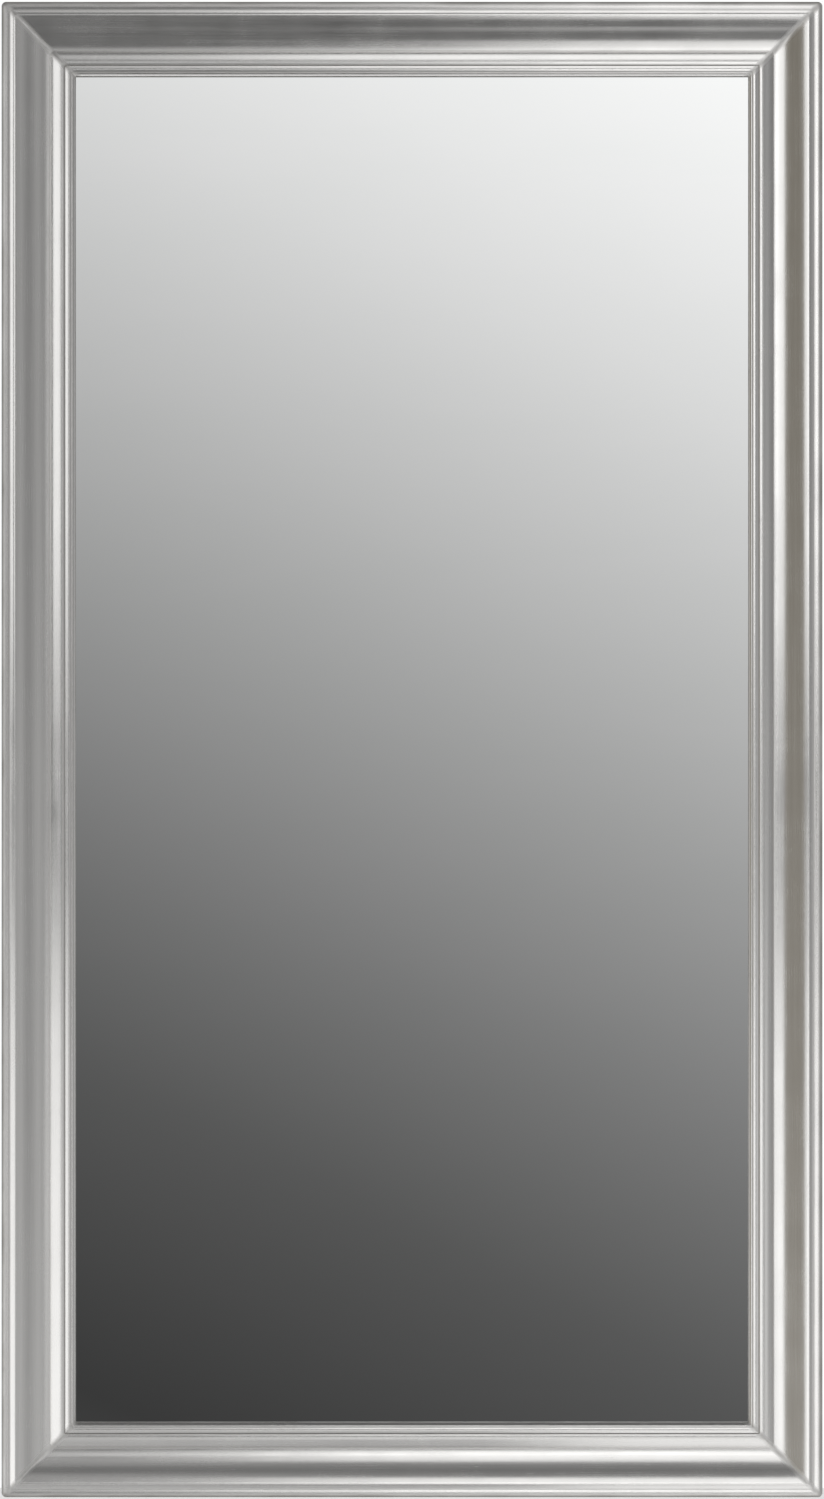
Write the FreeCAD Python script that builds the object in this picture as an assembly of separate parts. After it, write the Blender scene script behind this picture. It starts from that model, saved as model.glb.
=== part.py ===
"""Wall mirror: a mitred ogee-moulding frame around a plain mirror glass, with its back, fixings and hangers.

Millimetres. X runs to the viewer's right, Z up, and Y from the viewer to the wall.
The origin is on the wall plane, behind the centre of the frame.
"""
import FreeCAD, Part
import math
import os

# Frame as a whole
sight_width = 600.0
sight_height = 1200.0
outer_corner_radius = 4.0

# Moulding section: widths run in from the outer edge, heights forward from the rear face
outer_wall_height = 17.0
edge_round_width = 3.2
edge_round_lift = 2.6
roll_width = 4.2
roll_fall = 0.5
riser_width = 4.4
riser_lift = 1.7
riser_hollow = 0.28
crest_width = 2.4
crest_fall = 0.36
ogee_round_width = 9.5
ogee_round_fall = 4.44
ogee_round_rise = 0.5
ogee_hollow_width = 19.0
ogee_hollow_fall = 6.18
bead_shoulder = 0.4
bead_width = 10.7
bead_lift = 3.6
bead_nose_width = 2.0
bead_nose_fall = 0.2
lip_step = 1.3
lip_width = 4.2
lip_lift = 0.95
lip_nose_width = 2.0
lip_nose_fall = 0.4
fillet_step = 0.4
fillet_width = 1.5
fillet_rise = 0.15
sight_bevel_width = 1.9
sight_edge_height = 3.2
rabbet_width = 8.0

# Glass and back
glass_thickness = 4.0
glass_clearance = 2.0
glass_arris = 0.5
panel_thickness = 3.0
panel_clearance = 1.0
spacer_length = 40.0
spacer_inset = 150.0

# V nails at the mitres, two to a corner
v_nail_leg = 6.0
v_nail_angle = 70.0
v_nail_sheet = 0.8
v_nail_depth = 7.0
v_nail_outer = 18.0
v_nail_inner = 42.0

# Pan-head screws
button_shank_radius = 1.6
button_screw_bite = 9.0
hanger_shank_radius = 1.75
hanger_screw_bite = 11.0
head_overhang = 1.7
head_rim = 0.6
head_dome = 1.2
screw_point = 2.5
recess_width = 0.9
recess_depth = 1.0
pilot_clearance = 0.05

# Turn buttons
button_sheet = 1.5
button_width = 11.0
button_reach = 18.0
button_tail = 6.5
button_pivot_inset = 10.0
button_hole_clearance = 0.08
stile_button_inset = 158.0
rail_button_inset = 143.0

# Ring hangers
strap_sheet = 1.0
strap_width = 14.0
strap_first_hole = 11.0
strap_hole_spacing = 18.0
strap_hole_clearance = 0.25
knuckle_lift = 0.05
ring_wire_radius = 1.25
ring_bar_clearance = 0.08
ring_side_play = 0.5
ring_bend_radius = 3.0
ring_leg = 3.0
hanger_drop = 330.0
side_hanger_inset = 100.0

# Wall bumpers
bumper_radius = 8.0
bumper_height = 6.0
bumper_edge_radius = 1.0
bumper_inset = 75.0

# Values worked out from those above
outer_edge_width = edge_round_width + roll_width + riser_width + crest_width
ogee_width = ogee_round_width + ogee_hollow_width
bead_full_width = bead_width + bead_nose_width
sight_side_width = lip_width + lip_nose_width + fillet_width + sight_bevel_width
moulding_width = outer_edge_width + ogee_width + bead_full_width + sight_side_width
half_width = sight_width / 2 + moulding_width
half_height = sight_height / 2 + moulding_width
rear = -bumper_height
ledge_height = panel_thickness + glass_thickness
rabbet_wall = moulding_width - rabbet_width
rabbet_half_width = half_width - rabbet_wall
rabbet_half_height = half_height - rabbet_wall
hardware_line = rabbet_wall / 2
button_line = rabbet_wall - button_pivot_inset
strap_thickness = 2 * strap_sheet
knuckle_bore = ring_wire_radius + ring_bar_clearance
knuckle_radius = knuckle_bore + strap_sheet
knuckle_height = knuckle_radius + knuckle_lift
ring_half_bar = strap_width / 2 + ring_side_play
glass_plane = rear - panel_thickness

WALLWARD = FreeCAD.Vector(0, 1, 0)


def vec(x, y, z):
    return FreeCAD.Vector(x, y, z)


def save(name, shape):
    """Write one sub-part, and name it if a solid in it isn't sound."""
    if not shape.isValid():
        print("not valid:", name)
    shape.exportStep("parts/" + name + ".step")


def on_rear(shape, x, z, turn):
    """Set a piece made around the origin on the frame's rear face, turned about the wall direction."""
    placed = shape.copy()
    placed.rotate(vec(0, 0, 0), WALLWARD, turn)
    placed.translate(vec(x, rear, z))
    return placed


def arc_over(start, end, rise):
    """A round from start to end whose middle stands `rise` above the chord."""
    chord = end - start
    square = vec(-chord.y, chord.x, 0).normalize()
    return Part.Arc(start, (start + end) * 0.5 + square * rise, end).toShape()


def arc_level_at(level, other):
    """A round or hollow that runs level at one end and turns away on its way to the other."""
    run = other.x - level.x
    climb = other.y - level.y
    radius = (run * run + climb * climb) / (2 * climb)
    half_turn = math.atan(climb / run)
    middle = level + vec(radius * math.sin(half_turn), radius * (1 - math.cos(half_turn)), 0)
    return Part.Arc(level, middle, other).toShape()


def moulding_section():
    """The moulding's section: X in from the outer edge, Y forward from the rear face."""
    corner = vec(0, 0, 0)
    wall_top = vec(0, outer_wall_height, 0)
    roll_top = wall_top + vec(edge_round_width, edge_round_lift, 0)
    roll_end = roll_top + vec(roll_width, -roll_fall, 0)
    crest = roll_end + vec(riser_width, riser_lift, 0)
    crest_end = crest + vec(crest_width, -crest_fall, 0)
    ogee_turn = crest_end + vec(ogee_round_width, -ogee_round_fall, 0)
    ogee_end = ogee_turn + vec(ogee_hollow_width, -ogee_hollow_fall, 0)
    bead_foot = ogee_end + vec(0, bead_shoulder, 0)
    bead_top = bead_foot + vec(bead_width, bead_lift, 0)
    bead_end = bead_top + vec(bead_nose_width, -bead_nose_fall, 0)
    lip_foot = bead_end + vec(0, -lip_step, 0)
    lip_top = lip_foot + vec(lip_width, lip_lift, 0)
    lip_end = lip_top + vec(lip_nose_width, -lip_nose_fall, 0)
    fillet_foot = lip_end + vec(0, -fillet_step, 0)
    fillet_end = fillet_foot + vec(fillet_width, 0, 0)
    sight_top = vec(moulding_width, ledge_height + sight_edge_height, 0)
    sight_foot = vec(moulding_width, ledge_height, 0)
    rabbet_top = vec(rabbet_wall, ledge_height, 0)
    rabbet_foot = vec(rabbet_wall, 0, 0)
    edges = [
        Part.makeLine(corner, wall_top),
        arc_level_at(roll_top, wall_top),
        arc_level_at(roll_top, roll_end),
        arc_over(roll_end, crest, -riser_hollow),
        arc_level_at(crest, crest_end),
        arc_over(crest_end, ogee_turn, ogee_round_rise),
        arc_level_at(ogee_end, ogee_turn),
        Part.makeLine(ogee_end, bead_foot),
        arc_level_at(bead_top, bead_foot),
        arc_level_at(bead_top, bead_end),
        Part.makeLine(bead_end, lip_foot),
        arc_level_at(lip_top, lip_foot),
        arc_level_at(lip_top, lip_end),
        Part.makeLine(lip_end, fillet_foot),
        arc_over(fillet_foot, fillet_end, fillet_rise),
        Part.makeLine(fillet_end, sight_top),
        Part.makeLine(sight_top, sight_foot),
        Part.makeLine(sight_foot, rabbet_top),
        Part.makeLine(rabbet_top, rabbet_foot),
        Part.makeLine(rabbet_foot, corner),
    ]
    return Part.Face(Part.Wire(Part.__sortEdges__(edges)))


def mitred_rail(half_length, half_span, turn):
    """One length of moulding with its ends cut on the corner diagonals, made at the bottom and turned."""
    section = moulding_section()
    stick = section.extrude(vec(0, 0, 2 * half_length))
    to_bottom = FreeCAD.Matrix(0, 0, 1, -half_length, 0, -1, 0, 0, 1, 0, 0, -half_span, 0, 0, 0, 1)
    stick.Placement = FreeCAD.Placement(to_bottom)
    depth = section.BoundBox.YMax
    short = half_length - moulding_width
    inner = moulding_width - half_span
    outline = Part.makePolygon([
        vec(-half_length, 0, -half_span),
        vec(half_length, 0, -half_span),
        vec(short, 0, inner),
        vec(-short, 0, inner),
        vec(-half_length, 0, -half_span),
    ])
    rail = stick.common(Part.Face(outline).extrude(WALLWARD * -depth))
    return on_rear(rail, 0, 0, turn)


def rounded_block():
    """The frame's outer block with its four corners eased, which trims the rails' ends."""
    depth = moulding_section().BoundBox.YMax
    block = Part.makeBox(2 * half_width, depth, 2 * half_height, vec(-half_width, rear - depth, -half_height))
    upright = [e for e in block.Edges if abs(e.tangentAt(e.FirstParameter).y) > 0.5]
    return block.makeFillet(outer_corner_radius, upright)


def v_nail(x_sign, z_sign, inset):
    """A folded steel V across one mitre, driven in from behind, its point towards the glass."""
    half_angle = math.radians(v_nail_angle / 2)
    back = v_nail_leg * math.cos(half_angle)
    side = v_nail_leg * math.sin(half_angle)
    inner_back = back + v_nail_sheet * math.sin(half_angle)
    inner_side = side - v_nail_sheet * math.cos(half_angle)
    outline = [
        (0, 0),
        (-back, side),
        (-inner_back, inner_side),
        (-v_nail_sheet / math.sin(half_angle), 0),
        (-inner_back, -inner_side),
        (-back, -side),
        (0, 0),
    ]
    diagonal = vec(-x_sign, 0, -z_sign).normalize()
    across = vec(-z_sign, 0, x_sign).normalize()
    place = vec(x_sign * (half_width - inset), rear, z_sign * (half_height - inset))
    points = [place + diagonal * u + across * w for u, w in outline]
    return Part.Face(Part.makePolygon(points)).extrude(WALLWARD * -v_nail_depth)


def pan_screw(shank_radius, sheet, bite):
    """A cross-recess screw standing on a sheet on the rear face, its point in the wood."""
    head_radius = shank_radius + head_overhang
    rim = sheet + head_rim
    crown = rim + head_dome
    dome_radius = (head_radius ** 2 + head_dome ** 2) / (2 * head_dome)
    half_turn = math.asin(head_radius / dome_radius) / 2
    dome_middle = vec(
        dome_radius * math.sin(half_turn), crown - dome_radius * (1 - math.cos(half_turn)), 0
    )
    straight = [
        vec(0, crown, 0),
        vec(0, -bite, 0),
        vec(shank_radius, screw_point - bite, 0),
        vec(shank_radius, sheet, 0),
        vec(head_radius, sheet, 0),
        vec(head_radius, rim, 0),
    ]
    edges = [Part.makeLine(a, b) for a, b in zip(straight, straight[1:])]
    edges.append(Part.Arc(straight[-1], dome_middle, straight[0]).toShape())
    screw = Part.Face(Part.Wire(edges)).revolve(vec(0, 0, 0), WALLWARD, 360)
    floor = crown - recess_depth
    long = head_radius
    for length, width in ((long, recess_width), (recess_width, long)):
        slot = Part.makeBox(length, 2 * recess_depth, width, vec(-length / 2, floor, -width / 2))
        screw = screw.cut(slot)
    return screw


def pilot_hole(shank_radius, bite):
    """The hole that a screw bites in."""
    return Part.makeCylinder(
        shank_radius + pilot_clearance, bite + pilot_clearance, vec(0, 0, 0), WALLWARD * -1
    )


def turn_button():
    """A stamped steel tongue on the rear face, pivot at the origin, nose along +Z."""
    round_end = button_width / 2
    nose = button_reach - round_end
    tail = button_tail - round_end
    plate = Part.makeBox(button_width, button_sheet, nose + tail, vec(-round_end, 0, -tail))
    for centre in (nose, -tail):
        plate = plate.fuse(Part.makeCylinder(round_end, button_sheet, vec(0, 0, centre), WALLWARD))
    hole_radius = button_shank_radius + button_hole_clearance
    hole = Part.makeCylinder(hole_radius, button_sheet, vec(0, 0, 0), WALLWARD)
    return plate.removeSplitter().cut(hole)


def hanger_strap():
    """A doubled steel strap below the origin, folded into a knuckle around the ring's bar at the origin."""
    half = strap_width / 2
    last_hole = strap_first_hole + strap_hole_spacing
    plate = Part.makeBox(strap_width, strap_thickness, last_hole, vec(-half, 0, -last_hole))
    tail = Part.makeCylinder(half, strap_thickness, vec(0, 0, -last_hole), WALLWARD)
    bar_line = vec(-half, knuckle_height, 0)
    knuckle = Part.makeCylinder(knuckle_radius, strap_width, bar_line, vec(1, 0, 0))
    strap = plate.fuse([tail, knuckle]).removeSplitter()
    bore = Part.makeCylinder(knuckle_bore, strap_width, bar_line, vec(1, 0, 0))
    holes = [
        Part.makeCylinder(hanger_shank_radius + strap_hole_clearance, strap_thickness, vec(0, 0, z), WALLWARD)
        for z in strap_screw_places()
    ]
    return strap.cut([bore] + holes)


def strap_screw_places():
    """Heights of a strap's two screws, below the ring's bar."""
    return (-strap_first_hole, -strap_first_hole - strap_hole_spacing)


def hanger_ring():
    """A bent wire D: the bar through the knuckle, two bends, two legs and a half round on top."""
    half = ring_half_bar + ring_bend_radius
    leg_top = ring_bend_radius + ring_leg

    def wire(place, along):
        edge = Part.makeCircle(ring_wire_radius, place, along)
        return Part.Face(Part.Wire(edge))

    def at(x, z):
        return vec(x, knuckle_height, z)

    bar = wire(at(-ring_half_bar, 0), vec(1, 0, 0)).extrude(vec(2 * ring_half_bar, 0, 0))
    right_bend = wire(at(ring_half_bar, 0), vec(1, 0, 0)).revolve(
        at(ring_half_bar, ring_bend_radius), vec(0, -1, 0), 90
    )
    left_bend = wire(at(-ring_half_bar, 0), vec(1, 0, 0)).revolve(
        at(-ring_half_bar, ring_bend_radius), vec(0, 1, 0), 90
    )
    legs = [
        wire(at(x, ring_bend_radius), vec(0, 0, 1)).extrude(vec(0, 0, ring_leg)) for x in (-half, half)
    ]
    bow = wire(at(half, leg_top), vec(0, 0, 1)).revolve(at(0, leg_top), vec(0, -1, 0), 180)
    return bar.fuse([right_bend, left_bend, bow] + legs).removeSplitter()


def wall_bumper():
    """A rubber pad from the rear face to the wall, its wall edge rounded."""
    pad = Part.makeCylinder(bumper_radius, bumper_height, vec(0, 0, 0), WALLWARD)
    wall_edge = [e for e in pad.Edges if e.BoundBox.YMin > bumper_height / 2]
    return pad.makeFillet(bumper_edge_radius, wall_edge)


def edge_spacer(along_x):
    """A block as thick as the gap beside the glass and as deep as the glass."""
    size_x = spacer_length if along_x else glass_clearance
    size_z = glass_clearance if along_x else spacer_length
    return Part.makeBox(
        size_x, glass_thickness, size_z, vec(-size_x / 2, glass_plane - glass_thickness, -size_z / 2)
    )


os.makedirs("parts", exist_ok=True)

# Places of the hardware on the rear face
x_button = half_width - button_line
z_button = half_height - button_line
button_places = []
rail_button = rabbet_half_width - rail_button_inset
for x in (-rail_button, rail_button):
    button_places.append((x, -z_button, 0))
    button_places.append((x, z_button, 180))
stile_button = rabbet_half_height - stile_button_inset
for z in (-stile_button, 0, stile_button):
    button_places.append((-x_button, z, 90))
    button_places.append((x_button, z, 270))

x_hardware = half_width - hardware_line
z_hardware = half_height - hardware_line
hanger_places = {
    "upright_left": (-x_hardware, half_height - hanger_drop, 0),
    "upright_right": (x_hardware, half_height - hanger_drop, 0),
    "sideways_top": (side_hanger_inset - half_width, z_hardware, 270),
    "sideways_bottom": (side_hanger_inset - half_width, -z_hardware, 270),
}

z_bumper = half_height - bumper_inset
bumper_places = {
    "top_left": (-x_hardware, z_bumper),
    "top_right": (x_hardware, z_bumper),
    "bottom_left": (-x_hardware, -z_bumper),
    "bottom_right": (x_hardware, -z_bumper),
}

# Fixings, and the room that they take in the wood
nails = [
    v_nail(x_sign, z_sign, inset)
    for x_sign in (-1, 1)
    for z_sign in (-1, 1)
    for inset in (v_nail_outer, v_nail_inner)
]
wood_cuts = list(nails)

button_screw = pan_screw(button_shank_radius, button_sheet, button_screw_bite)
button_pilot = pilot_hole(button_shank_radius, button_screw_bite)
button_screws = []
for x, z, turn in button_places:
    button_screws.append(on_rear(button_screw, x, z, turn))
    wood_cuts.append(on_rear(button_pilot, x, z, turn))

hanger_screw = pan_screw(hanger_shank_radius, strap_thickness, hanger_screw_bite)
hanger_pilot = pilot_hole(hanger_shank_radius, hanger_screw_bite)
hanger_screws = []
for x, z, turn in hanger_places.values():
    for drop in strap_screw_places():
        for piece, group in ((hanger_screw, hanger_screws), (hanger_pilot, wood_cuts)):
            lowered = piece.copy()
            lowered.translate(vec(0, 0, drop))
            group.append(on_rear(lowered, x, z, turn))

# Frame
block = rounded_block()
rails = {
    "frame_bottom_rail": (half_width, half_height, 0),
    "frame_left_stile": (half_height, half_width, 90),
    "frame_top_rail": (half_width, half_height, 180),
    "frame_right_stile": (half_height, half_width, 270),
}
for name, (half_length, half_span, turn) in rails.items():
    rail = mitred_rail(half_length, half_span, turn).common(block)
    near = [c for c in wood_cuts if c.BoundBox.intersect(rail.BoundBox)]
    save(name, rail.cut(near))
save("corner_v_nails", Part.makeCompound(nails))

# Glass, its spacers and the back panel
glass_half_width = rabbet_half_width - glass_clearance
glass_half_height = rabbet_half_height - glass_clearance
glass = Part.makeBox(
    2 * glass_half_width,
    glass_thickness,
    2 * glass_half_height,
    vec(-glass_half_width, glass_plane - glass_thickness, -glass_half_height),
)
save("mirror_glass", glass.makeChamfer(glass_arris, glass.Edges))

x_spacer = rabbet_half_width - glass_clearance / 2
z_spacer = rabbet_half_height - glass_clearance / 2
spacers = []
for x_sign in (-1, 1):
    for z_sign in (-1, 1):
        lying = edge_spacer(True)
        lying.translate(vec(x_sign * (rabbet_half_width - spacer_inset), 0, z_sign * z_spacer))
        standing = edge_spacer(False)
        standing.translate(vec(x_sign * x_spacer, 0, z_sign * (rabbet_half_height - spacer_inset)))
        spacers += [lying, standing]
save("edge_spacers", Part.makeCompound(spacers))

panel_half_width = rabbet_half_width - panel_clearance
panel_half_height = rabbet_half_height - panel_clearance
save("back_panel", Part.makeBox(
    2 * panel_half_width,
    panel_thickness,
    2 * panel_half_height,
    vec(-panel_half_width, glass_plane, -panel_half_height),
))

# Turn buttons and their screws
button = turn_button()
for number, (x, z, turn) in enumerate(button_places, 1):
    save("turn_button_%02d" % number, on_rear(button, x, z, turn))
save("turn_button_screws", Part.makeCompound(button_screws))

# Hangers
strap = hanger_strap()
ring = hanger_ring()
for place, (x, z, turn) in hanger_places.items():
    save("hanger_strap_" + place, on_rear(strap, x, z, turn))
    save("hanger_ring_" + place, on_rear(ring, x, z, turn))
save("hanger_screws", Part.makeCompound(hanger_screws))

# Bumpers
bumper = wall_bumper()
for place, (x, z) in bumper_places.items():
    save("wall_bumper_" + place, on_rear(bumper, x, z, 0))
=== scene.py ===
"""Looks of the wall mirror: a silver ogee frame, a plain mirror glass, the back and the hangers.

Metres, in the frame of the CAD part: X to the viewer's right, Y from the viewer to the wall, Z up.
"""
import math

import bmesh
import bpy
from mathutils import Matrix, Vector


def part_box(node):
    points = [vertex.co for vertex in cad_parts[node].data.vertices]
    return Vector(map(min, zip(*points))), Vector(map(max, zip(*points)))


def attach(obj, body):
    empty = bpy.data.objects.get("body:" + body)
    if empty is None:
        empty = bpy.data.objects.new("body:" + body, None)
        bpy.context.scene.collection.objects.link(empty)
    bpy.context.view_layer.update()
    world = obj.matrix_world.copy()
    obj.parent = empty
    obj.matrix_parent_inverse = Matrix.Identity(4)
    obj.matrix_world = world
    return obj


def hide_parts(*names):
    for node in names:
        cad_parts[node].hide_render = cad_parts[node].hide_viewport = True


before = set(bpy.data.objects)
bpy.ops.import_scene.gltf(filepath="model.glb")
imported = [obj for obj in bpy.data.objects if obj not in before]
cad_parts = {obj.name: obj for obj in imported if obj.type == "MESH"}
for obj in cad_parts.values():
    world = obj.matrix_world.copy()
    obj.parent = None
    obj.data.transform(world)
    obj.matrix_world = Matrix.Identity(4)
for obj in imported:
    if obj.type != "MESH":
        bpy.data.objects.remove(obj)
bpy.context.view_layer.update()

# Frame rails: one pine moulding with a rolled outer edge, an ogee, a bead and a stepped sight edge.
# The four lengths are mitred, glued and nailed, then covered with satin silver leaf, which softens
# the corners and is darker in smudges at the mitres. Shade is painted darker into the leaf along the
# outer edge, in the quirks and on the sight wall. The rear face and the rabbet stay bare wood.
MM = 0.001
half_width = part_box("frame_right_stile")[1].x
half_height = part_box("frame_top_rail")[1].z
rear_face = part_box("frame_right_stile")[1].y


def feed(tree, socket, value):
    """Links an output to a node's input, or sets the input to a plain value."""
    if isinstance(value, bpy.types.NodeSocket):
        tree.links.new(value, socket)
    else:
        socket.default_value = value


def add_node(tree, kind, inputs=None, **settings):
    """A node with its settings, and with its inputs, by name or number, fed."""
    node = tree.nodes.new(kind)
    for name, value in settings.items():
        setattr(node, name, value)
    for key, value in (inputs or {}).items():
        feed(tree, node.inputs[key], value)
    return node


def calc(tree, operation, *terms):
    """The output of one sum on values or outputs."""
    node = add_node(tree, "ShaderNodeMath", dict(enumerate(terms)), operation=operation)
    return node.outputs[0]


def mix_colour(tree, factor, first, second):
    """The output of a blend from the first colour to the second."""
    node = add_node(tree, "ShaderNodeMix", {0: factor, 6: first, 7: second}, data_type="RGBA")
    return node.outputs[2]


def remap(tree, value, low, high):
    """A value from 0 to 1 spread over low to high."""
    inputs = {"Value": value, "To Min": low, "To Max": high}
    return add_node(tree, "ShaderNodeMapRange", inputs).outputs[0]


def share_of(tree, value, start, end):
    """A share that goes from 0 to 1 while a value goes from start to end."""
    inputs = {"Value": value, "From Min": start, "From Max": end}
    return add_node(tree, "ShaderNodeMapRange", inputs).outputs[0]


def new_group(kind, name, inputs, outputs):
    """A node group with the named sockets, and its input and output nodes."""
    tree = bpy.data.node_groups.new(name, kind)
    for direction, sockets in (("INPUT", inputs), ("OUTPUT", outputs)):
        for socket, socket_type in sockets.items():
            tree.interface.new_socket(
                socket, in_out=direction, socket_type="NodeSocket" + socket_type
            )
    return tree, tree.nodes.new("NodeGroupInput").outputs, tree.nodes.new("NodeGroupOutput").inputs


def place_group(tree, group, inputs):
    """A shader group placed in a material with its own values."""
    node = tree.nodes.new("ShaderNodeGroup")
    node.node_tree = group
    for name, value in inputs.items():
        feed(tree, node.inputs[name], value)
    return node.outputs


def new_material(name, plain):
    """A material whose shader has the given plain values, with its tree and shader."""
    material = bpy.data.materials.new(name)
    material.use_nodes = True
    shader = material.node_tree.nodes["Principled BSDF"]
    for socket, value in plain.items():
        shader.inputs[socket].default_value = value
    return material, material.node_tree, shader.inputs


def place_on_part(tree):
    """The output that gives a point's place in the frame of the part."""
    return add_node(tree, "ShaderNodeTexCoord").outputs["Object"]


def add_bump(tree, height, depth, strength):
    """A normal from a height pattern that is `depth` metres deep."""
    inputs = {"Height": height, "Distance": depth, "Strength": strength}
    return add_node(tree, "ShaderNodeBump", inputs).outputs[0]


# Grain drawn out along the first axis: brush strokes in leaf, fibres in wood, lines in rolled sheet.
drawn_grain, given, grain_out = new_group("ShaderNodeTree", "drawn_grain", {
    "Vector": "Vector", "Line Length": "Float", "Line Width": "Float", "Waver": "Float",
}, {"Grain": "Float"})
along_step = calc(drawn_grain, "DIVIDE", 1.0, given["Line Length"])
across_step = calc(drawn_grain, "DIVIDE", 1.0, given["Line Width"])
grain_scale = add_node(
    drawn_grain, "ShaderNodeCombineXYZ", {0: along_step, 1: across_step, 2: across_step}
).outputs[0]
grain_place = add_node(
    drawn_grain, "ShaderNodeVectorMath", {0: given["Vector"], 1: grain_scale}, operation="MULTIPLY"
).outputs[0]
grain_noise = add_node(drawn_grain, "ShaderNodeTexNoise", {
    "Vector": grain_place, "Scale": 1.0, "Detail": 5.0, "Roughness": 0.6,
    "Distortion": given["Waver"],
}).outputs[0]
feed(drawn_grain, grain_out["Grain"], share_of(drawn_grain, grain_noise, 0.28, 0.72))


def lay_grain(tree, place, length, width, waver):
    """Drawn-out grain in a material, with lines of the given length and width in metres."""
    inputs = {"Vector": place, "Line Length": length, "Line Width": width, "Waver": waver}
    return place_group(tree, drawn_grain, inputs)["Grain"]


# Cloudy patches, for uneven colour and sheen.
mottle, given, mottle_out = new_group("ShaderNodeTree", "mottle", {
    "Vector": "Vector", "Patch Size": "Float",
}, {"Patches": "Float"})
mottle_noise = add_node(mottle, "ShaderNodeTexNoise", {
    "Vector": given["Vector"], "Scale": calc(mottle, "DIVIDE", 1.0, given["Patch Size"]),
    "Detail": 4.0,
}).outputs[0]
feed(mottle, mottle_out["Patches"], share_of(mottle, mottle_noise, 0.3, 0.7))


def lay_patches(tree, place, size):
    """Cloudy patches in a material, of the given size in metres."""
    return place_group(tree, mottle, {"Vector": place, "Patch Size": size})["Patches"]


# Dust that has settled in specks and thin patches.
dust, given, dust_out = new_group("ShaderNodeTree", "dust", {
    "Vector": "Vector", "Colour": "Color", "Amount": "Float",
}, {"Colour": "Color"})
dust_grey = (0.62, 0.6, 0.56, 1.0)
dust_specks, dust_film = (
    add_node(dust, "ShaderNodeTexNoise", {
        "Vector": given["Vector"], "Scale": scale, "Detail": detail,
    }).outputs[0]
    for scale, detail in ((900.0, 2.0), (9.0, 5.0))
)
dust_cover = share_of(dust, calc(dust, "MULTIPLY", dust_specks, dust_film), 0.2, 0.42)
dust_share = calc(dust, "MULTIPLY", dust_cover, given["Amount"])
feed(dust, dust_out["Colour"], mix_colour(dust, dust_share, given["Colour"], dust_grey))


def lay_dust(tree, place, colour, amount):
    """A material's colour with dust on it."""
    inputs = {"Vector": place, "Colour": colour, "Amount": amount}
    return place_group(tree, dust, inputs)["Colour"]


def gap_from_mitre(tree):
    """How far a point of the frame stands from the joint line of its nearest corner."""
    axes = add_node(tree, "ShaderNodeSeparateXYZ", {0: place_on_part(tree)}).outputs
    from_side = calc(tree, "SUBTRACT", half_width, calc(tree, "ABSOLUTE", axes["X"]))
    from_end = calc(tree, "SUBTRACT", half_height, calc(tree, "ABSOLUTE", axes["Z"]))
    return calc(tree, "ABSOLUTE", calc(tree, "SUBTRACT", from_side, from_end))


silver_leaf, tree, shader = new_material("silver_leaf", {"Metallic": 1.0})
shaded_silver = (0.725, 0.715, 0.698, 1.0)
bright_silver = (0.795, 0.788, 0.774, 1.0)
# Dark silver: painted shade in the quirks, along the outer edge and on the sight wall, and real smudges
# at the mitres.
shade_and_smudge_silver = (0.37, 0.355, 0.335, 1.0)
rail_uv = add_node(tree, "ShaderNodeUVMap", uv_map="UVMap").outputs[0]
fine_strokes = lay_grain(tree, rail_uv, length=0.12, width=0.6 * MM, waver=0.15)
broad_strokes = lay_grain(tree, rail_uv, length=0.5, width=6.0 * MM, waver=0.3)
leaf_clouds = lay_patches(tree, rail_uv, size=50.0 * MM)
smudges = lay_patches(tree, rail_uv, size=8.0 * MM)
strokes = calc(
    tree, "MULTIPLY_ADD", fine_strokes, 0.6, calc(tree, "MULTIPLY", broad_strokes, 0.4)
)
leaf_colour = mix_colour(tree, strokes, shaded_silver, bright_silver)
# Painted shade, read from the section: the leaf is darkened in the quirks, along the outer edge and on
# the sight wall.
quirk_tone = add_node(tree, "ShaderNodeAttribute", attribute_name="quirk_tone").outputs["Fac"]
mitre_tone = add_node(tree, "ShaderNodeMapRange", {
    "Value": gap_from_mitre(tree), "From Min": 0.5 * MM, "From Max": 6.0 * MM,
    "To Min": 1.0, "To Max": 0.0,
}, interpolation_type="SMOOTHSTEP").outputs[0]
painted_shade_share = calc(tree, "MULTIPLY", quirk_tone, remap(tree, leaf_clouds, 0.12, 0.34))
mitre_share = calc(tree, "MULTIPLY", mitre_tone, remap(tree, smudges, 0.0, 0.4))
shade_and_smudge_share = calc(tree, "MAXIMUM", painted_shade_share, mitre_share)
feed(tree, shader["Base Color"], mix_colour(tree, shade_and_smudge_share, leaf_colour, shade_and_smudge_silver))
stroke_sheen = remap(tree, fine_strokes, 0.18, 0.25)
leaf_sheen = calc(tree, "ADD", stroke_sheen, remap(tree, leaf_clouds, 0.0, 0.06))
quirk_filling = calc(tree, "MULTIPLY", quirk_tone, 0.15)
mitre_filling = calc(tree, "MULTIPLY", mitre_tone, 0.28)
filled = calc(tree, "MAXIMUM", quirk_filling, mitre_filling)
feed(tree, shader["Roughness"], calc(tree, "ADD", leaf_sheen, filled))
feed(tree, shader["Normal"], add_bump(tree, strokes, depth=0.05 * MM, strength=0.15))

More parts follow.
